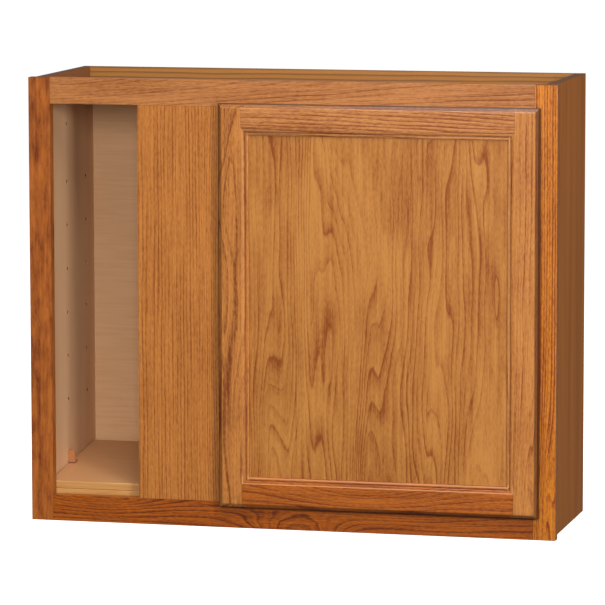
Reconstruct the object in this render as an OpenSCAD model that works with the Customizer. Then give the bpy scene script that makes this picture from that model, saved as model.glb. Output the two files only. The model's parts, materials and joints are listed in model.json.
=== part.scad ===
// Blind corner wall cabinet: face-framed carcass with an open blind bay on the left,
// a wide fixed blind panel beside it, and one framed door hung on the right stile.
// Origin: middle of the width, on the back face, at the level of the bottom edge.
// +X is to the right seen from the front, -Y points out of the front, +Z is up.

/* [Cabinet] */
// Overall width, across the face frame
cabinet_w = 914.4; // [760:0.1:1220]
// Overall height
cabinet_h = 762; // [600:0.1:1070]
// Depth from the back face to the face of the frame, without the door
cabinet_d = 304.8; // [280:0.1:400]

/* [Face frame] */
// Thickness of the frame members
frame_t = 19.05; // [17:0.05:25]
// Width of the outer stiles
stile_w = 38.1; // [32:0.1:60]
// Height of the top and bottom rails
rail_h = 44.45; // [38:0.05:60]
// Width of the open bay on the blind side
blind_bay_w = 154; // [100:1:220]
// Width of the fixed blind panel
blind_panel_w = 157; // [100:1:200]
// How far the frame stands past each side panel
frame_overhang = 7.9; // [0:0.1:10]
// Diameter of the dowels in the frame joints
dowel_d = 8; // [6:1:10]
// Length of a dowel, half of it in each member
dowel_len = 38; // [20:1:50]

/* [Carcass] */
// Thickness of the side panels
side_t = 15.9; // [12:0.1:20]
// Thickness of the top and bottom panels
deck_t = 12.7; // [10:0.1:16]
// Step from the edge of a frame rail to the deck behind it
deck_step = 5; // [0:0.5:8]
// Depth of the housings in the sides that hold the decks
dado_depth = 5; // [3:0.5:7]
// Thickness of the back panel
back_t = 3.2; // [3:0.1:6]
// Width of the rabbet that holds the back panel
rabbet_w = 8; // [5:0.5:10]
// Height of the upper hanging rail
hang_rail_h = 63.5; // [50:0.5:90]
// Thickness of the hanging rails
hang_rail_t = 15.9; // [12:0.1:20]
// Height of the lower hanging rail, which stands on the floor of the cabinet
lower_rail_h = 30; // [20:0.5:40]

/* [Shelves and clips] */
// Thickness of a shelf
shelf_t = 12.7; // [10:0.1:16]
// Thickness of the strip along a shelf's front edge
edging_t = 3; // [1:0.5:5]
// Gap between a shelf and each side panel
shelf_side_gap = 1.6; // [1:0.1:3]
// Gap between the face frame and the stacked shelves
shelf_front_gap = 1.5; // [1:0.1:8]
// Gap between a shelf's rear edge and the back panel
shelf_rear_gap = 6; // [2:0.5:20]
// Diameter of the shelf clip holes
peg_hole_d = 6.4; // [5:0.1:7]
// Depth of the shelf clip holes
peg_hole_depth = 10; // [8:0.5:11]
// Height of the lowest row of shelf clip holes
peg_row_low = 191; // [150:1:250]
// Spacing of the rows
peg_row_pitch = 76.2; // [50:0.1:100]
// Number of rows
peg_rows = 6; // [3:1:7]
// Distance from the back face to the rear column of holes
peg_rear_y = 52; // [35:1:70]
// Distance between the two columns
peg_column_gap = 112; // [80:1:140]

/* [Door] */
// How far the door laps over the frame at its two sides
lap_side = 11; // [10:0.5:14]
// How far the door laps over the frame at the top and bottom
lap_end = 6.35; // [5:0.05:12]
// Thickness of the door
door_t = 19.05; // [18:0.05:22]
// Width of the door's stiles and rails, moulding included
door_member_w = 53.3; // [48:0.1:75]
// Thickness of the veneered panel
door_panel_t = 6.3; // [5:0.1:6.5]
// Gap between the door and the frame, filled by the bumpers
door_gap = 2.5; // [2.5:0.1:4]
// Width of the bevel round the door's face
bevel_w = 7.5; // [3:0.5:9]
// Depth of the bevel round the door's face
bevel_d = 5.5; // [2:0.5:5.5]

/* [Hinges] */
// Distance from the door's ends to the middle of each hinge
hinge_inset = 90; // [60:1:150]
// Diameter of the hinge cup
cup_d = 35; // [35:1:35]
// Depth of the bore for the cup
cup_bore_depth = 13; // [13:0.1:13.4]
// Diameter of the hinge pin
hinge_pin_d = 2.4; // [2:0.1:2.6]

/* [Hidden] */

$fn = 48;
eps = 0.5; // how far a cutter runs past the face it cuts

oak = "#b8672f";
oak_light = "#bf8443";
side_brown = "#7a4a24";
maple = "#b08a66";
pine = "#b9852f";
edge_gold = "#cf9d52";
steel = "#b9bcc0";

// Frame
frame_left = -cabinet_w / 2;
frame_right = cabinet_w / 2;
frame_face = -cabinet_d;
frame_back = frame_face + frame_t;
open_bottom = rail_h;
open_top = cabinet_h - rail_h;
bay_left = frame_left + stile_w;
bay_right = bay_left + blind_bay_w;
door_open_left = bay_right + blind_panel_w;
door_open_right = frame_right - stile_w;
dowel_clear = 0.05;
dowel_end_gap = 1; // between a dowel's end and the bottom of its hole
dowel_inset = 12; // from a rail's edge to its nearest dowel
panel_dowel_places = [0.15, 0.5, 0.85]; // across the width of the blind panel

// Carcass
side_outer = cabinet_w / 2 - frame_overhang;
side_inner = side_outer - side_t;
floor_top = open_bottom - deck_step;
floor_bottom = floor_top - deck_t;
ceiling_bottom = open_top + deck_step;
ceiling_top = ceiling_bottom + deck_t;
back_front = -back_t;
hang_front = back_front - hang_rail_t;

// Shelves, stacked for transport: front edges on the floor, rear on the lower hanging rail
shelf_half_w = side_inner - shelf_side_gap;
shelf_seam = 0.2; // air under each shelf
lower_shelf_z = shelf_seam;
upper_shelf_z = lower_shelf_z + shelf_t + shelf_seam;
stack_h = upper_shelf_z + shelf_t;
stack_run = hang_front - frame_back - shelf_front_gap;
stack_lean = stack_h * lower_rail_h / norm([stack_run, lower_rail_h]);
shelf_front = frame_back + shelf_front_gap + stack_lean;
shelf_tilt = atan(lower_rail_h / (hang_front - shelf_front));
shelf_d = back_front - shelf_rear_gap - shelf_front;
edging_round = 1.4;
function stack_top_z(y) = floor_top + stack_h / cos(shelf_tilt) + (y - shelf_front) * tan(shelf_tilt);

// Staples
staple_count = 9; // along each hanging rail
staple_inset = 30; // from a side panel to the first staple
staple_drop = 16; // from the top edge to the upper staples
staple_crown = 9;
staple_wire = 1.2;
staple_leg = 10;
staple_air = 0.05;

// Shelf clips
peg_front_y = -peg_rear_y - peg_column_gap;
clip_w = 15;
clip_h = 23;
clip_wall = 2;
peg_air = 0.075; // round a clip's peg in its hole
top_peg_drop = 45.5; // to the single hole above the rows, in the front column
clip_reach = 13.5;
clip_ledge_t = 2.6;
clip_shoulder = 5; // from the clip's peak down to its shoulders
clip_rib_step = 1; // from the clip's edges to the rib that props its ledge
clip_air = 0.3; // between a clip and the side or shelf beside it
clip_peg_d = peg_hole_d - 2 * peg_air;
clip_peg_len = 8;
clip_peg_rise = 13; // from the clip's ledge to its peg
clip_z = stack_top_z(peg_front_y + clip_w / 2) + clip_air;
clip_peg_z = clip_z + clip_peg_rise;
top_peg_z = open_top - top_peg_drop;

// Door
door_back = frame_face - door_gap;
door_face = door_back - door_t;
door_left = door_open_left - lap_side;
door_right = door_open_right + lap_side;
door_bottom = open_bottom - lap_end;
door_top = open_top + lap_end;
moulding_w = 12.5;
flat_w = door_member_w - moulding_w;
panel_recess = 8; // from the door's face to the panel's face
groove_front = door_t - panel_recess;
groove_back = groove_front - door_panel_t;
groove_depth = 9;
panel_bite = 8; // how far the panel goes into its groove
panel_air = 0.1; // between the panel and each side of its groove
bumper_r = 4;
bumper_inset = 20; // from the door's ends to the bumpers
bumper_air = 0.1; // between a bumper and the frame

// Hinges: the pin's place is given from the door's hinge edge and back face
cup_r = cup_d / 2;
cup_edge = 3;
cup_x = door_right - cup_edge - cup_r;
cup_wall = 0.8;
cup_air = 0.1;
flange_t = 1;
flange_r = 18.5;
wing_half_h = 27;
wing_w = 13;
pin_edge = 6.5;
pin_depth = 9;
pin_x = door_right - pin_edge;
pin_y = door_back - pin_depth;
pin_reach = pin_x - cup_x + hinge_pin_d / 2; // from the cup's middle to the pin's far side
pin_end_air = 0.1; // between the pin's ends and the wood round the cup
pin_half = sqrt(cup_r * cup_r - pin_reach * pin_reach) - pin_end_air;
pin_air = 0.05; // round the pin in the arm's knuckle
pin_seat_air = 0.01; // round the pin in the cup's wall
knuckle_wall = 0.7;
knuckle_r = hinge_pin_d / 2 + knuckle_wall;
arm_t = 1.6;
arm_half_w = 4;
plate_half_h = 22;
hinge_open = 105;
plate_front_gap = 0.3; // from the frame's face to the front edge of the arm's plate
plate_rear_gap = 1.2; // from the frame's back to the rear edge of the arm's plate
neck_bite = 1; // how far the neck runs into the plate
screw_r = 1.6;
screw_air = 0.05; // round a screw's shank in the wood
screw_hole_air = 0.2; // round a screw's shank in a hinge
screw_hole_gap = 1; // between a screw's end and the bottom of its hole
screw_head_r = 3.4;
screw_head_t = 1.8;
screw_z = 15;
arm_screw_len = 15;
cup_screw_z = 22.5;
cup_screw_len = 11;
cup_head_r = 2.8;
cup_head_t = 1;
hinge_zs = [door_bottom + hinge_inset, door_top - hinge_inset];

// Block between two corners
module block(low, high) {
    translate(low) cube(high - low);
}

// Cylinder along X, from x0 to x1
module rod_x(x0, x1, y, z, r) {
    translate([x0, y, z]) rotate([0, 90, 0]) cylinder(h = x1 - x0, r = r);
}

// Cylinder along Y, from y0 to y1
module rod_y(x, y0, y1, z, r) {
    translate([x, y0, z]) rotate([-90, 0, 0]) cylinder(h = y1 - y0, r = r);
}

// ---- Face frame ----

rail_dowel_zs = [for (e = [0, cabinet_h - rail_h]) for (d = [dowel_inset, rail_h - dowel_inset]) e + d];
panel_dowel_xs = [for (k = panel_dowel_places) bay_right + k * blind_panel_w];
dowel_y = frame_face + frame_t / 2;

// Dowels of the stile-to-rail joints and of the blind panel's two ends
module dowel_rods(r, half_len) {
    for (z = rail_dowel_zs, x = [bay_left, door_open_right])
        rod_x(x - half_len, x + half_len, dowel_y, z, r);
    for (x = panel_dowel_xs, z = [open_bottom, open_top])
        translate([x, dowel_y, z - half_len]) cylinder(h = 2 * half_len, r = r);
}

module dowel_bores() {
    dowel_rods(dowel_d / 2 + dowel_clear, dowel_len / 2 + dowel_end_gap);
}

module frame_dowels() {
    color("#d9b98a") dowel_rods(dowel_d / 2, dowel_len / 2);
}

// Upright of the frame between two places on X, from z0 to z1
module upright(x0, x1, z0, z1) {
    block([x0, frame_face, z0], [x1, frame_back, z1]);
}

module left_stile() {
    color(oak) difference() {
        upright(frame_left, bay_left, 0, cabinet_h);
        dowel_bores();
    }
}

module right_stile() {
    color(oak) difference() {
        upright(door_open_right, frame_right, 0, cabinet_h);
        dowel_bores();
        arm_screw_shanks(screw_r + screw_air, arm_screw_len + screw_hole_gap);
    }
}

module frame_rail(z0) {
    color(oak) difference() {
        upright(bay_left, door_open_right, z0, z0 + rail_h);
        dowel_bores();
    }
}

module blind_panel() {
    color(oak) difference() {
        upright(bay_right, door_open_left, open_bottom, open_top);
        dowel_bores();
    }
}

// ---- Carcass ----

peg_zs = [for (i = [0 : peg_rows - 1]) peg_row_low + i * peg_row_pitch];

// Holes for the shelf clips in the left side panel
module peg_holes() {
    for (z = peg_zs, y = [-peg_rear_y, peg_front_y]) peg_hole(y, z);
    peg_hole(peg_front_y, clip_peg_z);
    peg_hole(peg_front_y, top_peg_z);
}

module peg_hole(y, z) {
    rod_x(-side_inner - peg_hole_depth, -side_inner + eps, y, z, peg_hole_d / 2);
}

// Left side panel, with housings for the decks, a rabbet for the back and the clip holes
module side_panel() {
    difference() {
        block([-side_outer, frame_back, 0], [-side_inner, 0, cabinet_h]);
        for (z = [floor_bottom, ceiling_bottom])
            block([-side_inner - dado_depth, frame_back - eps, z], [-side_inner + eps, eps, z + deck_t]);
        block([-side_inner - rabbet_w, back_front, -eps], [-side_inner + eps, eps, cabinet_h + eps]);
        peg_holes();
    }
}

module left_side() {
    color(side_brown) side_panel();
}

module right_side() {
    color(side_brown) mirror([1, 0, 0]) side_panel();
}

// Deck housed in both sides, from the frame back to y1
module deck(z, y1) {
    half = side_inner + dado_depth;
    color(maple) block([-half, frame_back, z], [half, y1, z + deck_t]);
}

module back_panel() {
    half = side_inner + rabbet_w;
    color(maple) difference() {
        block([-half, back_front, 0], [half, 0, cabinet_h]);
        staples(staple_air);
    }
}

module hanging_rail(z0, z1) {
    color(pine) difference() {
        block([-side_inner, hang_front, z0], [side_inner, back_front, z1]);
        staples(staple_air);
    }
}

module bottom_panel() {
    deck(floor_bottom, back_front);
}

module top_panel() {
    deck(ceiling_bottom, hang_front);
}

// Places of the staples that hold the back panel to the two hanging rails
staple_pitch = 2 * (side_inner - staple_inset) / (staple_count - 1);
staple_xs = [for (i = [0 : staple_count - 1]) -side_inner + staple_inset + i * staple_pitch];
staple_zs = [floor_top + lower_rail_h / 2, cabinet_h - staple_drop];

// Staples driven flush with the rear face, all their faces grown by air
module staples(air) {
    w = staple_wire / 2 + air;
    half = staple_crown / 2 + air;
    for (x = staple_xs, z = staple_zs) {
        block([x - half, -staple_wire - air, z - w], [x + half, air, z + w]);
        for (leg_x = [x - half + w, x + half - w])
            block([leg_x - w, -staple_leg - air, z - w], [leg_x + w, air, z + w]);
    }
}

module back_staples() {
    color(steel) staples(0);
}

// ---- Shelves and clips ----

// Leans what it holds back onto the lower hanging rail, from the shelves' front edge
module leaning() {
    translate([0, shelf_front, floor_top]) rotate([shelf_tilt, 0, 0]) children();
}

module shelf_board(z) {
    color(maple) leaning() block([-shelf_half_w, edging_t, z], [shelf_half_w, shelf_d, z + shelf_t]);
}

// Strip along a shelf's front edge, its two front corners rounded
module shelf_edging(z) {
    r = min(edging_round, 0.45 * edging_t);
    color(edge_gold) leaning() translate([-shelf_half_w, 0, z]) rotate([90, 0, 90])
        linear_extrude(height = 2 * shelf_half_w) union() {
            translate([r, 0]) square([edging_t - r, shelf_t]);
            translate([0, r]) square([r, shelf_t - 2 * r]);
            for (h = [r, shelf_t - r]) translate([r, h]) circle(r = r, $fn = 24);
        }
}

// Shelf clip set upside down in the left side's lowest front hole, holding the stack down
module shelf_clip() {
    x0 = -side_inner + clip_air;
    y0 = peg_front_y - clip_w / 2;
    shoulder_z = clip_h - clip_shoulder;
    rib_w = clip_reach - clip_rib_step;
    rib_h = clip_h - clip_rib_step;
    color("#a9683c") union() {
        translate([x0, y0, clip_z]) rotate([90, 0, 90]) linear_extrude(height = clip_wall)
            polygon([[0, 0], [clip_w, 0], [clip_w, shoulder_z], [clip_w / 2, clip_h], [0, shoulder_z]]);
        block([x0, y0, clip_z], [x0 + clip_reach, y0 + clip_w, clip_z + clip_ledge_t]);
        translate([x0, y0 + clip_wall + clip_rib_step, clip_z]) rotate([90, 0, 0])
            linear_extrude(height = clip_wall)
                polygon([[0, 0], [rib_w, 0], [rib_w, shoulder_z], [rib_w / 2, rib_h], [0, shoulder_z]]);
        rod_x(x0 - clip_peg_len, x0 + clip_wall, peg_front_y, clip_peg_z, clip_peg_d / 2);
    }
}

// ---- Door ----

// Section of a door member: [distance from the outer edge, distance from the back face].
// The moulding goes down from the face in a step, an ovolo, a sunk quirk and a round bead.
step_d = 0.8; // sharp step beside the flat
step_w = 0.5;
ovolo_drop = 3.2;
quirk_w = 1.2;
quirk_d = 0.8; // below the foot of the ovolo
bead_r = 2.5;
bead_drop = 0.3; // from the foot of the ovolo to the top of the bead
ovolo_w = moulding_w - step_w - quirk_w - 2 * bead_r;
ovolo_foot = door_t - step_d - ovolo_drop;
ovolo = [for (a = [90 : -15 : 0]) [
    flat_w + step_w + ovolo_w * cos(a), ovolo_foot + ovolo_drop * sin(a)
]];
quirk_floor = ovolo_foot - quirk_d;
bead_middle = ovolo_foot - bead_drop - bead_r;
bead_start = 180 - asin((quirk_floor - bead_middle) / bead_r); // where the bead leaves the quirk
bead_steps = 8;
bead = [for (i = [bead_steps : -1 : 0]) let (a = bead_start * i / bead_steps) [
    door_member_w - bead_r + bead_r * cos(a), bead_middle + bead_r * sin(a)
]];
member_section = concat(
    [[0, 0], [0, door_t - bevel_d], [bevel_w, door_t], [flat_w, door_t], [flat_w, door_t - step_d]],
    ovolo, [[flat_w + step_w + ovolo_w, quirk_floor]], bead,
    [
        [door_member_w, groove_front], [door_member_w - groove_depth, groove_front],
        [door_member_w - groove_depth, groove_back], [door_member_w, groove_back], [door_member_w, 0]
    ]
);

// Upright door member with its outer edge at x = 0, growing towards +X
module door_upright() {
    linear_extrude(height = door_top - door_bottom)
        polygon([for (p = member_section) [p[0], -p[1]]]);
}

// Wedge that bevels a horizontal end of the door: grows up from z = 0
module end_bevel() {
    translate([-eps, 0, 0]) rotate([90, 0, 90])
        linear_extrude(height = door_right - door_left + 2 * eps)
            polygon([
                [-(door_t - bevel_d), 0], [-door_t - eps, -bevel_w * (1 + eps / bevel_d)],
                [-door_t - eps, eps], [-(door_t - bevel_d), eps]
            ]);
}

module end_bevels() {
    translate([door_left, door_back, door_top]) end_bevel();
    translate([door_left, door_back, door_bottom]) mirror([0, 0, 1]) end_bevel();
}

module pull_stile_blank() {
    translate([door_left, door_back, door_bottom]) door_upright();
}

module hinge_stile_blank() {
    translate([door_right, door_back, door_bottom]) mirror([1, 0, 0]) door_upright();
}

module door_pull_stile() {
    color(oak_light) difference() {
        pull_stile_blank();
        end_bevels();
    }
}

module door_hinge_stile() {
    color(oak) difference() {
        hinge_stile_blank();
        end_bevels();
        for (z = hinge_zs) rod_y(cup_x, door_back - cup_bore_depth, door_back + eps, z, cup_r);
        cup_screw_shanks(screw_r + screw_air, cup_screw_len + screw_hole_gap);
    }
}

// Rail between the stiles, its ends coped over their mouldings
module rail_blank() {
    length = door_right - door_left - 2 * flat_w;
    rotate([90, 0, 90]) linear_extrude(height = length)
        polygon([for (p = member_section) [-p[1], p[0]]]);
}

module door_bottom_rail() {
    color(oak) difference() {
        translate([door_left + flat_w, door_back, door_bottom]) rail_blank();
        pull_stile_blank();
        hinge_stile_blank();
    }
}

module door_top_rail() {
    color(oak) difference() {
        translate([door_left + flat_w, door_back, door_top]) mirror([0, 0, 1]) rail_blank();
        pull_stile_blank();
        hinge_stile_blank();
    }
}

module door_panel() {
    inset = door_member_w - panel_bite;
    color(oak_light) block(
        [door_left + inset, door_back - groove_front + panel_air, door_bottom + inset],
        [door_right - inset, door_back - groove_back - panel_air, door_top - inset]
    );
}

module door_bumpers() {
    color("#d8d4c8") for (z = [door_bottom + bumper_inset, door_top - bumper_inset])
        rod_y(door_left + lap_side / 2, door_back, frame_face - bumper_air, z, bumper_r);
}

// ---- Hinges ----

// Cup with its flange and two wings, mouth towards +Y, centred on the bore at z = 0
module hinge_cup() {
    floor_y = door_back - cup_bore_depth + cup_air;
    color(steel) difference() {
        union() {
            rod_y(cup_x, floor_y, door_back, 0, cup_r - cup_air);
            rod_y(cup_x, door_back, door_back + flange_t, 0, flange_r);
            block(
                [cup_x - wing_w / 2, door_back, -wing_half_h],
                [cup_x + wing_w / 2, door_back + flange_t, wing_half_h]
            );
        }
        rod_y(cup_x, floor_y + cup_wall, door_back + flange_t + eps, 0, cup_r - cup_air - cup_wall);
        for (s = [-1, 1])
            rod_y(
                cup_x, door_back - eps, door_back + flange_t + eps, s * cup_screw_z,
                screw_r + screw_hole_air
            );
        translate([pin_x, pin_y, -cup_r]) cylinder(h = cup_d, r = hinge_pin_d / 2 + pin_seat_air);
    }
}

module hinge_pin() {
    color(steel) translate([pin_x, pin_y, -pin_half]) cylinder(h = 2 * pin_half, r = hinge_pin_d / 2);
}

// Arm's middle line, from the pin: straight out of the open door's cup, then an arc round the
// pin that clears the door's corner, then along the stile's inner edge. An arm laid out for the
// open door is turned back by the opening angle to the closed one.
function turned(p, a) = [p[0] * cos(a) - p[1] * sin(a), p[0] * sin(a) + p[1] * cos(a)];
arm_air = 0.3;
neck_lift = pin_depth + flange_t + arm_air + arm_t / 2;
neck_lean = 1;
neck_r = norm([pin_edge, pin_depth]) + arm_t / 2 + 2 * arm_air;
neck_start = asin(neck_lift / neck_r) + hinge_open;
plate_x = door_open_right - arm_t / 2;
neck_end = acos((plate_x - pin_x) / neck_r);
neck = concat(
    [[0, 0], turned([neck_lean, neck_lift], hinge_open)],
    [for (i = [0 : 8]) turned([neck_r, 0], neck_start + (neck_end - neck_start) * i / 8)],
    [[plate_x - pin_x, frame_face + neck_bite - pin_y]]
);

// Bar of sheet metal between two points, with round ends
module strip(a, b) {
    d = b - a;
    translate(a) rotate(atan2(d[1], d[0])) translate([0, -arm_t / 2]) square([norm(d), arm_t]);
    for (p = [a, b]) translate(p) circle(d = arm_t, $fn = 24);
}

module hinge_arm() {
    plate_y0 = frame_face + plate_front_gap;
    plate_y1 = frame_back - plate_rear_gap;
    color(steel) difference() {
        union() {
            translate([pin_x, pin_y, -arm_half_w]) linear_extrude(height = 2 * arm_half_w) union() {
                circle(r = knuckle_r, $fn = 32);
                for (i = [0 : len(neck) - 2]) strip(neck[i], neck[i + 1]);
            }
            block(
                [door_open_right - arm_t, plate_y0, -plate_half_h],
                [door_open_right, plate_y1, plate_half_h]
            );
        }
        translate([pin_x, pin_y, -arm_half_w - eps])
            cylinder(h = 2 * arm_half_w + 2 * eps, r = hinge_pin_d / 2 + pin_air);
        for (s = [-1, 1])
            rod_x(
                door_open_right - arm_t - eps, door_open_right + eps, dowel_y, s * screw_z,
                screw_r + screw_hole_air
            );
    }
}

// Shanks of the screws that hold the arms to the stile's inner edge
module arm_screw_shanks(r, length) {
    for (z = hinge_zs, s = [-1, 1])
        rod_x(door_open_right - arm_t, door_open_right - arm_t + length, dowel_y, z + s * screw_z, r);
}

module hinge_arm_screws() {
    x = door_open_right - arm_t;
    color(steel) {
        arm_screw_shanks(screw_r, arm_screw_len);
        for (z = hinge_zs, s = [-1, 1]) rod_x(x - screw_head_t, x, dowel_y, z + s * screw_z, screw_head_r);
    }
}

// Shanks of the screws that hold the cups to the door
module cup_screw_shanks(r, length) {
    y = door_back + flange_t;
    for (z = hinge_zs, s = [-1, 1]) rod_y(cup_x, y - length, y, z + s * cup_screw_z, r);
}

module hinge_cup_screws() {
    y = door_back + flange_t;
    color(steel) {
        cup_screw_shanks(screw_r, cup_screw_len);
        for (z = hinge_zs, s = [-1, 1]) rod_y(cup_x, y, y + cup_head_t, z + s * cup_screw_z, cup_head_r);
    }
}

left_stile();
right_stile();
frame_rail(cabinet_h - rail_h);  // top_rail
frame_rail(0);  // bottom_rail
blind_panel();
frame_dowels();
left_side();
right_side();
top_panel();
bottom_panel();
back_panel();
hanging_rail(cabinet_h - hang_rail_h, cabinet_h);  // upper_hanging_rail
hanging_rail(floor_top, floor_top + lower_rail_h);  // lower_hanging_rail
back_staples();
shelf_board(upper_shelf_z);  // upper_shelf
shelf_board(lower_shelf_z);  // lower_shelf
shelf_edging(upper_shelf_z);  // upper_shelf_edging
shelf_edging(lower_shelf_z);  // lower_shelf_edging
shelf_clip();  // left_shelf_clip
mirror([1, 0, 0]) shelf_clip();  // right_shelf_clip
door_hinge_stile();
door_pull_stile();
door_top_rail();
door_bottom_rail();
door_panel();
door_bumpers();
translate([0, 0, hinge_zs[1]]) hinge_cup();  // upper_hinge_cup
translate([0, 0, hinge_zs[0]]) hinge_cup();  // lower_hinge_cup
translate([0, 0, hinge_zs[1]]) hinge_pin();  // upper_hinge_pin
translate([0, 0, hinge_zs[0]]) hinge_pin();  // lower_hinge_pin
translate([0, 0, hinge_zs[1]]) hinge_arm();  // upper_hinge_arm
translate([0, 0, hinge_zs[0]]) hinge_arm();  // lower_hinge_arm
hinge_cup_screws();
hinge_arm_screws();
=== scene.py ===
"""Blind corner wall cabinet in stained oak: its finishes, its eased edges, the lights and the camera."""
import json
import math
import bpy
from mathutils import Matrix, Vector


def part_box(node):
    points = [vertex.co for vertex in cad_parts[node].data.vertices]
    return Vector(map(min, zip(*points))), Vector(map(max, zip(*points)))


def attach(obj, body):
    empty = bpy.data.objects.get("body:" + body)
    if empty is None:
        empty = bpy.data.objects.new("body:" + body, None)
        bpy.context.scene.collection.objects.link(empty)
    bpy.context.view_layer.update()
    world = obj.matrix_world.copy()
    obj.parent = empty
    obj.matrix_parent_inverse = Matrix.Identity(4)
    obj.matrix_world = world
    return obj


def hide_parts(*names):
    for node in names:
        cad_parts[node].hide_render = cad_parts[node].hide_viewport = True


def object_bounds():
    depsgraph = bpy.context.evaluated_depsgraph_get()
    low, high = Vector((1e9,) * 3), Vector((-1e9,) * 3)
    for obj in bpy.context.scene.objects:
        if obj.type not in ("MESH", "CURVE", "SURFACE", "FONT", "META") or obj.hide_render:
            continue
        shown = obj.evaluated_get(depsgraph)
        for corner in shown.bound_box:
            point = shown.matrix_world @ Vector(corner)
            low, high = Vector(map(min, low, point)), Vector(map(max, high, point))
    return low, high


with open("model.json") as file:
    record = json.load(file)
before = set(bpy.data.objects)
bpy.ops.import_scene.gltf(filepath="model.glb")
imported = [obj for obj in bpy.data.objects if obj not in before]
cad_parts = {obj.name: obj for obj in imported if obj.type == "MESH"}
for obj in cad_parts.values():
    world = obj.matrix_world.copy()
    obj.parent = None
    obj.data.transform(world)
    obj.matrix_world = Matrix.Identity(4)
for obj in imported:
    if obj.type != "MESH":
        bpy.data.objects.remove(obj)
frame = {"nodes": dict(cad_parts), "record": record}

MM = 0.001
cad_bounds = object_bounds()
NODES = frame["nodes"]
SLOT_OF = {part["node"]: part["material_slot"] for part in frame["record"]["subparts"]}
BODY_OF = {
    node: body
    for body, members in frame["record"]["behaviour"]["bodies"].items()
    for node in members
}


# ---- Colours ----


def srgb(red, green, blue):
    """Linear colour of an 8-bit screen colour."""
    def linear(channel):
        c = channel / 255
        return c / 12.92 if c <= 0.04045 else ((c + 0.055) / 1.055) ** 2.4
    return (linear(red), linear(green), linear(blue), 1.0)


def grey(level):
    return (level, level, level, 1)


def mean_of(one, other):
    return tuple((a + b) / 2 for a, b in zip(one, other))


def darker(colour, share):
    """The colour with only that share of its light left."""
    return tuple(share * c for c in colour[:3]) + (1.0,)


# ---- Shader maths ----


class Value:
    """A socket of a material. Arithmetic on it adds Math nodes."""

    def __init__(self, finish, socket):
        self.finish = finish
        self.socket = socket

    def math(self, operation, *others, clamp=False):
        inputs = dict(enumerate((self, *others)))
        return self.finish.node("ShaderNodeMath", inputs, operation=operation, use_clamp=clamp)

    def __add__(self, other):
        return self.math("ADD", other)

    def __sub__(self, other):
        return self.math("SUBTRACT", other)

    def __mul__(self, other):
        return self.math("MULTIPLY", other)

    def __truediv__(self, other):
        return self.math("DIVIDE", other)

    def __rsub__(self, other):
        return self.finish.node("ShaderNodeMath", {0: other, 1: self}, operation="SUBTRACT")

    def __neg__(self):
        return self.math("MULTIPLY", -1)

    def __gt__(self, other):
        return self.math("GREATER_THAN", other)

    def __lt__(self, other):
        return self.math("LESS_THAN", other)

    __radd__ = __add__
    __rmul__ = __mul__

    def clamped(self):
        return self.math("ADD", 0, clamp=True)

    def fraction(self):
        return self.math("FRACT")

    def nearer(self, other):
        """The smaller of two distances."""
        return self.math("MINIMUM", other)

    def step(self, low, high):
        """0 below low, 1 above high, smooth between them."""
        return self.finish.node(
            "ShaderNodeMapRange", {0: self, 1: low, 2: high, 3: 0, 4: 1}, interpolation_type="SMOOTHSTEP"
        )

    def rise(self, low, high):
        """A step up between two distances in millimetres."""
        return self.step(low * MM, high * MM)

    def fall(self, low, high):
        """A step down between two distances in millimetres."""
        return 1 - self.rise(low, high)


class Finish:
    """A material under construction, read in the object's own coordinates, in metres."""

    def __init__(self, name):
        self.material = bpy.data.materials.new(name)
        self.material.use_nodes = True
        self.tree = self.material.node_tree
        self.shader = self.tree.nodes["Principled BSDF"]
        position = self.node("ShaderNodeTexCoord", {}, output="Object")
        self.x, self.y, self.z = (
            self.node("ShaderNodeSeparateXYZ", {0: position}, output=axis) for axis in "XYZ"
        )

    def node(self, kind, inputs, output=0, stops=None, **settings):
        """Adds a node: its settings first, then its ramp's stops, then its sockets."""
        node = self.tree.nodes.new(kind)
        for key, setting in settings.items():
            setattr(node, key, setting)
        if stops:
            ramp = node.color_ramp
            while len(ramp.elements) < len(stops):
                ramp.elements.new(1.0)
            for element, (place, colour) in zip(ramp.elements, stops):
                element.position = place
                element.color = colour
        for key, value in inputs.items():
            self.link(value, node.inputs[key])
        return Value(self, node.outputs[output])

    def link(self, value, socket):
        """Wires a value into a socket, or sets a constant on it."""
        if isinstance(value, Value):
            self.tree.links.new(value.socket, socket)
        else:
            socket.default_value = value

    def noise(self, x, y, z, detail=2.0, roughness=0.5, distortion=0.0):
        place = self.node("ShaderNodeCombineXYZ", {0: x, 1: y, 2: z})
        return self.node("ShaderNodeTexNoise", {
            "Vector": place, "Scale": 1.0, "Detail": detail, "Roughness": roughness,
            "Distortion": distortion,
        })

    def mix(self, share, low, high):
        """Colour low at share 0 and high at share 1."""
        return self.node("ShaderNodeMix", {0: share, 6: low, 7: high}, output=2, data_type="RGBA")

    def ramp(self, share, stops):
        return self.node("ShaderNodeValToRGB", {0: share}, stops=stops)

    def bump(self, height, depth):
        return self.node("ShaderNodeBump", {"Height": height, "Distance": depth, "Strength": 1.0})

    def finish(self, **sockets):
        """Sets the shader's sockets, named with underscores, and returns the material."""
        for name, value in sockets.items():
            self.link(value, self.shader.inputs[name.replace("_", " ")])
        return self.material


# ---- Oak: how the wood is marked ----

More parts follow.
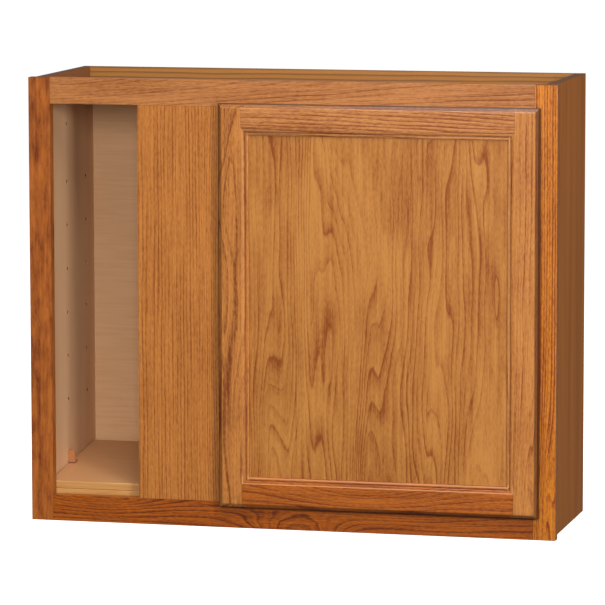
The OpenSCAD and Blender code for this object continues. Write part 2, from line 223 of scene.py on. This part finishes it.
# Mark: its width across the grain and length along it in metres, its seed, its detail and roughness
MARKS = {
    "waver": (13 * MM, 160 * MM, 3, 2.0, 0.5),
    "fray": (3 * MM, 30 * MM, 11, 3.0, 0.5),
    "pores": (1.2 * MM, 12 * MM, 17, 1.0, 0.5),
    "strokes": (2.2 * MM, 9 * MM, 19, 2.0, 0.6),
    "hairs": (2.1 * MM, 110 * MM, 5, 2.0, 0.55),
    "streaks": (7 * MM, 300 * MM, 7, 3.0, 0.6),
    "cloud": (40 * MM, 160 * MM, 23, 2.0, 0.5),
    "flames": (11 * MM, 40 * MM, 29, 2.0, 0.5),
}
FREE_MARKS = ("strokes", "hairs", "streaks", "cloud", "flames")  # these don't follow the rings
SWAY_LENGTH = 450 * MM  # over which the rings drift sideways
RINGS_DEEP = 140  # rings in a metre of thickness
FINE_RINGS = 2.4  # faint rings to each bold one
HILL_POINT = 0.7  # below 1, the tips of the arches are pointed
RING_STEP = 0.73  # not a whole number, so that each ring reads the noise elsewhere
RING_LENGTH = 400 * MM  # over which one ring turns bolder or fainter

# A ring read from its dark, porous early wood out to its pale late wood
SOFT_EDGE = [
    (0.0, grey(1)), (0.12, grey(0.8)), (0.3, grey(0.4)), (0.62, grey(0.1)), (0.9, grey(0.06)), (1.0, grey(1)),
]
PORE_LINE = [(0.0, grey(1)), (0.12, grey(0.8)), (0.26, grey(0.1)), (0.9, grey(0)), (1.0, grey(0.8))]


class Board:
    """Places on a board: across its face, along its grain and into its thickness, from its middle."""

    def __init__(self, finish, node, grain, seed):
        low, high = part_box(node)
        middle = (low + high) / 2
        x, y, z = finish.x - middle.x, finish.y - middle.y, finish.z - middle.z
        self.finish = finish
        self.seed = seed
        self.across, self.along = (x, z) if grain == "Z" else (z, x)
        self.deep = y
        self.half_length = (high - low)["XYZ".index(grain)] / 2

    def noise(self, width, length, own_seed=0, detail=2.0, roughness=0.5):
        """Noise about zero, with features of that width across the grain and that length along it."""
        seed = self.seed + own_seed
        level = self.finish.noise(
            self.across / width + seed, self.along / length - seed, self.deep / width + 2 * seed,
            detail=detail, roughness=roughness,
        )
        return level - 0.5

    def mark(self, name):
        return self.noise(*MARKS[name])

    def ends(self):
        """1 on the sawn ends of the board."""
        return self.along.math("ABSOLUTE").step(self.half_length - 0.8 * MM, self.half_length - 0.3 * MM)


def ring_count(board, figure):
    """Growth rings as contour lines: a slope over the board, long low hills on it, and a wavering hand."""
    count = board.across * figure["across"] + board.along * figure["along"] + board.deep * RINGS_DEEP
    count = count + board.noise(figure["sway"], SWAY_LENGTH) * figure["wander"]
    count = count + board.mark("waver") * figure["hand"]
    for across, along, half_w, half_l, rings in figure["hills"]:
        u = (board.across - across) / half_w
        v = (board.along - along) / half_l
        count = count + (-((u * u).math("POWER", HILL_POINT)) - v * v).math("EXPONENT") * rings
    return count + board.mark("fray") * figure["fray"]


def oak_shade(board, figure):
    """How dark the stain took: 0 on the palest wood, 1 on the darkest. Then how open the pores are."""
    finish = board.finish
    count = ring_count(board, figure)
    phase = count.fraction()
    ring = count.math("FLOOR") * RING_STEP
    bold = finish.noise(ring, board.along / RING_LENGTH, board.seed, detail=0.0).step(0.3, 0.64)
    pores = board.mark("pores").step(-0.04, 0.16)
    line = finish.ramp(phase, PORE_LINE) * (pores * 0.5 + 0.5) * (bold * 0.6 + 0.4)
    marks = {
        "band": finish.ramp(phase, SOFT_EDGE) * (bold * 0.7 + 0.3),
        "fine": finish.ramp((count * FINE_RINGS + 0.3).fraction(), SOFT_EDGE),
        "line": line,
        "pores": pores,
    } | {name: board.mark(name) for name in FREE_MARKS}
    shade = figure["base"]
    for name, mark in marks.items():
        shade = mark * figure[name] + shade
    return shade.clamped(), pores * (line + 0.2)


# ---- Oak: the boards ----

PLAIN_FIGURE = {
    "band": 0.45, "fine": 0.22, "line": 0.35, "pores": 0.15, "strokes": 1.1, "hairs": 1.1, "streaks": 1.0,
    "cloud": 0.6, "flames": 0.0, "hand": 0.9, "fray": 0.2, "sway": 45 * MM, "base": 0.16,
}


def figured(across, along=0.0, wander=2.0, hills=(), **weights):
    """The figure of one board: rings a metre across and along it, its hills, and how bold each mark is."""
    return PLAIN_FIGURE | weights | {"across": across, "along": along, "wander": wander, "hills": hills}


# Hills of a figure: across, along, half width, half length in metres, then the rings they lift
PANEL_HILLS = [
    (-0.187, -0.40, 0.026, 0.26, 7), (-0.016, -0.46, 0.030, 0.34, 9), (0.168, -0.44, 0.032, 0.25, 7),
    (-0.115, 0.03, 0.022, 0.24, 4), (0.085, -0.02, 0.034, 0.26, 4), (-0.075, 0.40, 0.036, 0.24, 6),
    (0.165, 0.40, 0.028, 0.22, 5),
]
BOTTOM_RAIL_HILLS = [
    (-0.024, 0.015, 0.030, 0.075, 7), (0.016, 0.20, 0.02, 0.12, 3), (0.02, -0.33, 0.02, 0.09, 4),
]
PULL_STILE_HILLS = [
    (-0.026, 0.37, 0.024, 0.13, 6), (-0.022, 0.04, 0.016, 0.10, 3), (0.012, -0.24, 0.02, 0.18, 3),
]
FIGURES = {
    "left_stile": figured(
        45, wander=3.0, band=0.3, line=0.1, cloud=1.1, flames=1.7, pores=0.1, hairs=0.5, streaks=0.5,
        strokes=0.7, base=0.25
    ),
    "right_stile": figured(
        215, wander=2.0, hand=0.5, hills=[(0.004, -0.40, 0.013, 0.17, 6)], band=0.9, line=0.6, strokes=1.5
    ),
    "top_rail": figured(
        110, along=-6, wander=3.0, hills=[(0.024, -0.46, 0.05, 0.30, 7)], hand=0.5, fray=0.12, band=0.45
    ),
    "bottom_rail": figured(100, wander=3.0, hills=BOTTOM_RAIL_HILLS, hand=0.5, fray=0.12, band=0.6),
    "blind_panel": figured(
        150, wander=2.0, hand=0.4, hills=[(0.075, 0.0, 0.036, 0.50, 5)], band=0.4, line=0.45,
        pores=0.1, fray=0.1, cloud=0.4, streaks=0.7
    ),
    "door_pull_stile": figured(
        28, wander=3.0, hills=PULL_STILE_HILLS, band=0.45, fine=0.2, cloud=0.9, base=0.1
    ),
    "door_hinge_stile": figured(
        110, wander=2.0, hills=[(0.01, -0.36, 0.02, 0.16, 4)], band=0.3, cloud=1.1
    ),
    "door_top_rail": figured(180, along=5, wander=3.5, band=0.85, line=0.4, strokes=1.4),
    "door_bottom_rail": figured(
        70, wander=2.5, hand=0.4, fray=0.1, hills=[(0.036, -0.02, 0.036, 0.12, 9)], band=0.5, strokes=1.4
    ),
    "door_panel": figured(
        88, wander=9.0, sway=65 * MM, hand=0.3, hills=PANEL_HILLS, band=0.62, fine=0.1, line=0.15,
        fray=0.06, streaks=1.1, hairs=0.6, pores=0.05, strokes=0.95, cloud=1.3, base=0.2
    ),
}
# Board: palest and darkest wood, and the way its grain runs
STAINS = {
    "left_stile": (srgb(174, 97, 36), srgb(110, 47, 11), "Z"),
    "right_stile": (srgb(201, 120, 31), srgb(124, 52, 6), "Z"),
    "top_rail": (srgb(182, 119, 67), srgb(125, 64, 22), "X"),
    "bottom_rail": (srgb(176, 90, 17), srgb(101, 40, 3), "X"),
    "blind_panel": (srgb(190, 121, 55), srgb(131, 65, 18), "Z"),
    "door_pull_stile": (srgb(189, 121, 57), srgb(116, 54, 12), "Z"),
    "door_hinge_stile": (srgb(191, 126, 62), srgb(134, 65, 22), "Z"),
    "door_top_rail": (srgb(192, 128, 72), srgb(129, 65, 25), "X"),
    "door_bottom_rail": (srgb(176, 95, 28), srgb(112, 47, 7), "X"),
    "door_panel": (srgb(184, 123, 58), srgb(132, 64, 13), "Z"),
}
PAINTED_HIGHLIGHT = srgb(218, 156, 104)  # painted highlight: a pale oak tone laid on the moulding's raised arrises
MOULDED_BOARDS = ("door_pull_stile", "door_hinge_stile", "door_top_rail", "door_bottom_rail")
PORE_DEPTH = 0.10 * MM


def moulding_shade_and_highlights(finish):
    """Painted shade in the door's quirks, at the moulding's foot and on its outer bevel, and painted
    highlights on the moulding's raised arrises.

    inward is the distance from the moulding's outer edge, depth the distance behind the door's face.
    """
    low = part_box("door_pull_stile")[0]
    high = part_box("door_hinge_stile")[1]
    edge = (finish.x - low.x).nearer(high.x - finish.x).nearer(finish.z - low.z).nearer(high.z - finish.z)
    inward = edge - (high.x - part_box("door_top_rail")[1].x)
    depth = finish.y - low.y
    quirk = depth.rise(4.2, 4.7) * inward.fall(6.9, 7.9)
    foot = depth.rise(5.5, 7.6) * inward.rise(8, 9)
    bevel = depth.rise(0.4, 2.0) * edge.fall(6, 9)
    # Painted shade: darker in the quirk, at the moulding's foot and on the outer bevel, the bevel more so
    # towards the hinge side
    hinge_side = (finish.x - low.x) / (high.x - low.x)
    painted_shade = quirk * 0.5 + foot * 0.4 + bevel * (hinge_side * 0.4 + 0.3)
    # Painted highlight: paler on the tops of the ovolo and the bead, most near the bottom of the door
    ovolo_top = inward.rise(0.2, 0.8) * inward.fall(1.6, 2.6)
    bead_top = inward.rise(8, 9) * inward.fall(10.8, 12)
    near_bottom = (finish.z - low.z).fall(50, 60)
    painted_highlight = (ovolo_top + bead_top) * (near_bottom * 0.6 + 0.1)
    return painted_shade.clamped(), painted_highlight.clamped()


def oak(node, seed):
    """Stained oak under satin lacquer, its figure set for each board."""
    light, dark, grain = STAINS[node]
    finish = Finish("oak_" + node)
    board = Board(finish, node, grain, seed)
    shade, open_pores = oak_shade(board, FIGURES[node])
    wood = finish.ramp(shade, [(0.0, light), (0.55, mean_of(light, dark)), (1.0, dark)])
    wood = finish.mix(board.ends() * 0.55, wood, darker(dark, 0.45))
    if node in MOULDED_BOARDS:
        # Painted shade in the moulding's quirks and on the door's bevel, then painted highlights on its
        # raised arrises
        painted_shade, painted_highlight = moulding_shade_and_highlights(finish)
        wood = finish.mix(painted_shade, wood, darker(dark, 0.25))
        wood = finish.mix(painted_highlight, wood, PAINTED_HIGHLIGHT)
    return finish.finish(
        Base_Color=wood, Roughness=(open_pores * 0.15 + shade * 0.08 + 0.36).clamped(),
        Normal=finish.bump(1 - open_pores, PORE_DEPTH), Coat_Weight=0.3, Coat_Roughness=0.2,
        Specular_IOR_Level=0.2,
    )


def make_oaks():
    """One finish per board, because no two boards show the same figure."""
    return {node: oak(node, 1.7 * index + 1) for index, node in enumerate(STAINS)}


# ---- Laminates and pine ----

PRINT_W = 1.2 * MM  # the finest lines of the laminate's print
PRINT_L = 30 * MM
# Painted shade: dark brown on a side's inner face from the top panel up
SHADE_ABOVE_TOP = srgb(124, 80, 50)
# Painted shade: near-black brown on the walls of the shelf-pin holes
HOLE_SHADE = srgb(60, 34, 18)
SEALED_TOP = srgb(98, 66, 44)
HOLE_FREE_RIM = 12 * MM
SURFACE = 0.3 * MM  # anything this close to a face counts as on it
PINE_RING = 8.5 * MM
PINE_SWAY = 12 * MM
PINE_FIBRE = 1 * MM
PINE_STRIPE = [(0.0, grey(0)), (0.45, grey(0.1)), (0.8, grey(1)), (1.0, grey(0))]


def laminate(name, colour, streak_colour, grain, streak, strength, seed, fine=0.35):
    """Printed paper laminate with soft streaks of that width and length along its grain."""
    finish = Finish(name)
    x, y, z = finish.x, finish.y, finish.z
    across, along = {"Z": (x + y, z), "X": (y + z, x)}[grain]
    width, length = streak
    broad = finish.noise(across / width, along / length, seed, detail=3.0, distortion=0.3)
    thin = finish.noise(across / PRINT_W, along / PRINT_L, seed + 4) - 0.5
    share = (broad.step(0.3, 0.72) * strength + thin * fine).clamped()
    return finish, finish.mix(share, colour, streak_colour)


def inner_laminate(name, colour, streak_colour, seed):
    finish, paper = laminate(name, colour, streak_colour, "X", (5 * MM, 100 * MM), 0.3, seed, fine=0.25)
    return finish.finish(Base_Color=paper, Roughness=0.5, Specular_IOR_Level=0.2)


def side_laminate():
    """Brown paper outside and over the raw edges, tan inside below the top panel, painted shade inside from
    the top panel up and in the shelf-pin holes.
    """
    finish, outside = laminate(
        "side_laminate", srgb(186, 112, 44), srgb(158, 88, 30), "Z", (30 * MM, 500 * MM), 0.6, 8.0, fine=0.25
    )
    low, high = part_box("right_side")
    sideways = finish.x.math("ABSOLUTE")
    tan_streaks = finish.noise(finish.y / (50 * MM), finish.z / (700 * MM), 5.0, detail=3.0).step(0.3, 0.7)
    tan = finish.mix(tan_streaks * 0.5, srgb(220, 176, 134), srgb(202, 150, 108))
    under_top = finish.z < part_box("top_panel")[0].z
    inside = sideways < low.x + SURFACE
    # Inside: tan below the top panel, painted shade from the top panel up
    colour = finish.mix(inside, outside, finish.mix(under_top, SHADE_ABOVE_TOP, tan))
    from_rim = (finish.y - low.y).nearer(high.y - finish.y).nearer(finish.z - low.z).nearer(high.z - finish.z)
    in_board = (sideways > low.x + 0.6 * MM) * (sideways < high.x - 1 * MM)
    # Painted shade on the walls of the shelf-pin holes, away from the board's rim
    colour = finish.mix(in_board * (from_rim > HOLE_FREE_RIM), colour, HOLE_SHADE)
    colour = finish.mix(finish.z > high.z - SURFACE, colour, SEALED_TOP)
    return finish.finish(Base_Color=colour, Roughness=0.45, Specular_IOR_Level=0.1)


def shelf_edging():
    finish, colour = laminate(
        "shelf_edging", srgb(206, 154, 92), srgb(180, 124, 62), "X", (4 * MM, 120 * MM), 0.7, 12.0
    )
    return finish.finish(Base_Color=colour, Roughness=0.4)


def pine():
    """Sawn softwood: dark late rings in stripes along the rail."""
    finish = Finish("pine")
    x, y, z = finish.x, finish.y, finish.z
    sway = finish.noise(x / (300 * MM), y / (50 * MM), z / (50 * MM)) - 0.5
    late = finish.ramp(((z + sway * PINE_SWAY) / PINE_RING).fraction(), PINE_STRIPE)
    fibre = finish.noise(x / (50 * MM), y / PINE_FIBRE, z / PINE_FIBRE, detail=3.0) - 0.5
    colour = finish.mix((late * 0.8 + fibre * 0.4).clamped(), srgb(146, 97, 32), srgb(86, 49, 10))
    return finish.finish(Base_Color=colour, Roughness=0.6)


# ---- Plastic, steel and beech ----

MOTTLE = 4 * MM
MOTTLE_DEPTH = 0.03 * MM
MOTTLE_WEAR = 0.12  # how far the mottling changes the roughness


def plain(name, colour, roughness, metallic=0.0):
    """Moulded or plated finish with faint mottling."""
    finish = Finish(name)
    mottle = finish.noise(finish.x / MOTTLE, finish.y / MOTTLE, finish.z / MOTTLE, detail=3.0)
    tint = finish.mix(mottle * MOTTLE_WEAR * 2, colour, darker(colour, 0.6))
    return finish.finish(
        Base_Color=tint, Roughness=(mottle * MOTTLE_WEAR + roughness).clamped(), Metallic=metallic,
        Normal=finish.bump(mottle, MOTTLE_DEPTH),
    )


def make_slot_finishes():
    """The finishes of all that isn't oak, by material slot."""
    zinc = plain("zinc", srgb(196, 194, 186), 0.36, metallic=1.0)
    return {
        "side_laminate": side_laminate(),
        "inner_laminate": inner_laminate("inner_laminate", srgb(216, 170, 126), srgb(192, 142, 96), 3.0),
        "shelf_edging": shelf_edging(),
        "pine": pine(),
        "beech_dowel": plain("beech", srgb(214, 180, 138), 0.6),
        "clip_plastic": plain("clip_plastic", srgb(172, 108, 60), 0.42),
        "bumper": plain("bumper", srgb(220, 216, 204), 0.35),
        "hinge_steel": plain("nickel", srgb(200, 198, 194), 0.28, metallic=1.0),
        "screw_steel": zinc,
        "staple_steel": zinc,
    }


# ---- Pieces ----

SHELVES = ("upper_shelf", "lower_shelf")
OAK_EDGE = 0.6 * MM
BOARD_EDGE = 0.3 * MM
# Radius of the edges on small parts, by material slot
SMALL_EDGES = {
    "hinge_steel": 0.15 * MM, "clip_plastic": 0.15 * MM,
    "screw_steel": 0, "staple_steel": 0, "beech_dowel": 0, "bumper": 0,
}
WELD = 0.001 * MM
FLAT = math.radians(0.5)  # triangles closer than this to one plane are one face
SHARP = math.radians(28)  # edges sharper than this are rounded over
CURVED = math.radians(35)  # faces closer than this are shaded as one surface


def select_only(piece):
    bpy.ops.object.select_all(action="DESELECT")
    piece.select_set(True)
    bpy.context.view_layer.objects.active = piece


def round_edges(piece, radius):
    bevel = piece.modifiers.new("ease", "BEVEL")
    bevel.width = radius
    bevel.segments = 2
    bevel.limit_method = "ANGLE"
    bevel.angle_limit = SHARP
    bpy.ops.object.modifier_apply(modifier="ease")


def level_normals(piece):
    """Keeps flat faces looking flat beside their rounded edges."""
    bpy.ops.object.shade_smooth_by_angle(angle=CURVED)
    level = piece.modifiers.new("level", "WEIGHTED_NORMAL")
    level.keep_sharp = True
    bpy.ops.object.modifier_apply(modifier="level")


def eased(node, radius, material):
    """A copy of a CAD node with its triangles joined into faces and its sharp edges rounded over."""
    piece = bpy.data.objects.new(node + "_eased", NODES[node].data.copy())
    bpy.context.scene.collection.objects.link(piece)
    select_only(piece)
    bpy.ops.object.mode_set(mode="EDIT")
    bpy.ops.mesh.select_all(action="SELECT")
    bpy.ops.mesh.remove_doubles(threshold=WELD)
    bpy.ops.mesh.dissolve_limited(angle_limit=FLAT)
    bpy.ops.object.mode_set(mode="OBJECT")
    if radius:
        round_edges(piece, radius)
    level_normals(piece)
    piece.data.materials.clear()
    piece.data.materials.append(material)
    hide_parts(node)
    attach(piece, BODY_OF[node])


def make_pieces():
    oaks = make_oaks()
    finishes = make_slot_finishes()
    worn = inner_laminate("shelf_laminate", srgb(194, 142, 96), srgb(172, 116, 72), 6.0)
    for node in NODES:
        slot = SLOT_OF[node]
        if node in oaks:
            eased(node, OAK_EDGE, oaks[node])
        elif node in SHELVES:
            eased(node, BOARD_EDGE, worn)
        else:
            eased(node, SMALL_EDGES.get(slot, BOARD_EDGE), finishes[slot])


# ---- Studio ----

FLOOR_SIZE = 120
FLOOR_GAP = 0.5 * MM  # under the cabinet, so that the two don't share a plane
FLOOR_GLOW = 0.92
SKY_GLOW = 0.16
LAMP_TARGET = Vector((0, -0.2, 0.4))
# Lamp: azimuth from straight in front to the right and elevation in degrees, distance and side in
# metres, power in watts
LAMPS = {
    "high": (24, 48, 3.2, 1.2, 30),
    "overhead": (14, 76, 3.0, 1.5, 50),
    "side": (42, 10, 4.0, 0.8, 72),
    "front": (8, 12, 5.0, 1.2, 110),
    "rear": (240, 25, 4.0, 1.2, 60),
}
CAMERA_AIM = Vector((0.0027, -0.2235, 0.3791))
CAMERA_DISTANCE = 7.2
CAMERA_AZIMUTH = 13.99  # degrees, as the two below
CAMERA_ELEVATION = 6.93
CAMERA_ROLL = -0.09
CAMERA_LENS = 251.5  # millimetres, in front of a sensor 36 mm wide


def make_floor():
    """White floor that shines by itself and takes only a faint shadow."""
    bpy.ops.object.select_all(action="DESELECT")
    bpy.ops.mesh.primitive_plane_add(size=FLOOR_SIZE, location=(0, 0, cad_bounds[0][2] - FLOOR_GAP))
    floor = bpy.context.object
    floor.name = "studio_floor"
    floor.visible_diffuse = False
    floor.visible_glossy = False
    paper = Finish("studio_floor")
    floor.data.materials.append(paper.finish(
        Base_Color=grey(0.6), Roughness=1.0, Specular_IOR_Level=0.0,
        Emission_Color=grey(1), Emission_Strength=FLOOR_GLOW,
    ))


def way_to(azimuth, elevation):
    """Direction out from the cabinet: azimuth from straight in front to the right, then elevation."""
    turn, lift = math.radians(azimuth), math.radians(elevation)
    return Vector((math.sin(turn) * math.cos(lift), -math.cos(turn) * math.cos(lift), math.sin(lift)))


def make_lamp(name, azimuth, elevation, distance, side, power):
    """Square soft light aimed at the cabinet."""
    way = way_to(azimuth, elevation)
    data = bpy.data.lights.new(name, "AREA")
    data.size = side
    data.energy = power
    lamp = bpy.data.objects.new(name, data)
    bpy.context.scene.collection.objects.link(lamp)
    lamp.location = LAMP_TARGET + way * distance
    lamp.rotation_euler = (-way).to_track_quat("-Z", "Y").to_euler()


def make_sky():
    world = bpy.data.worlds.new("studio")
    bpy.context.scene.world = world
    world.use_nodes = True
    background = world.node_tree.nodes["Background"]
    background.inputs["Color"].default_value = grey(1)
    background.inputs["Strength"].default_value = SKY_GLOW


def make_camera():
    """A long lens from the front right, a little above the cabinet."""
    data = bpy.data.cameras.new("camera")
    data.sensor_width = 36
    data.lens = CAMERA_LENS
    data.clip_end = 200
    camera = bpy.data.objects.new("camera", data)
    bpy.context.scene.collection.objects.link(camera)
    place = Matrix.Translation(CAMERA_AIM + way_to(CAMERA_AZIMUTH, CAMERA_ELEVATION) * CAMERA_DISTANCE)
    turn = Matrix.Rotation(math.radians(CAMERA_AZIMUTH), 4, "Z")
    pitch = Matrix.Rotation(math.radians(90 - CAMERA_ELEVATION), 4, "X")
    roll = Matrix.Rotation(math.radians(CAMERA_ROLL), 4, "Z")
    camera.matrix_world = place @ turn @ pitch @ roll
    bpy.context.scene.camera = camera


make_pieces()
make_floor()
make_sky()
for lamp_name, lamp_settings in LAMPS.items():
    make_lamp(lamp_name, *lamp_settings)
make_camera()
bpy.context.scene.view_settings.view_transform = "Standard"
